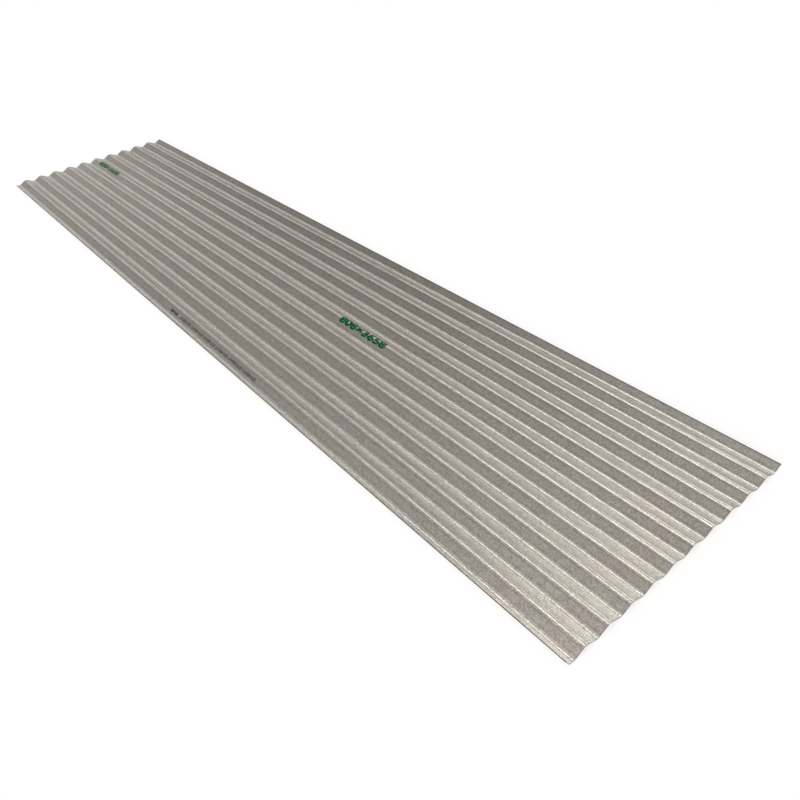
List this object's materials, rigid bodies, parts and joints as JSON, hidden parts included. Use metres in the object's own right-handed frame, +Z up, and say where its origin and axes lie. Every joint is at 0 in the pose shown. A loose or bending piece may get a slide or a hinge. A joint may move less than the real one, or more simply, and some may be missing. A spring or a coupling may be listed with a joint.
{
  "type": "corrugated metal sheet",
  "caption": "Long thin sheet of coated steel rolled into round waves, used as roofing, cladding or fencing.",
  "frame": {"origin": "on the floor under the middle of the sheet, centre of its bounding box in X and Y, at the undersides of the valleys in Z", "axes": "+Y along the waves, +X across them, +Z up, out of the face that is seen"},
  "size_m": [0.8076, 3.6576, 0.0163],
  "materials": {
    "coated_steel": "bare zinc or aluminium-zinc coated steel, warm grey, softly shining with a fine spangle and rolling marks along the waves"
  },
  "bodies": {
    "root": {"corrugated_sheet": "coated_steel"}
  },
  "joints": []
}
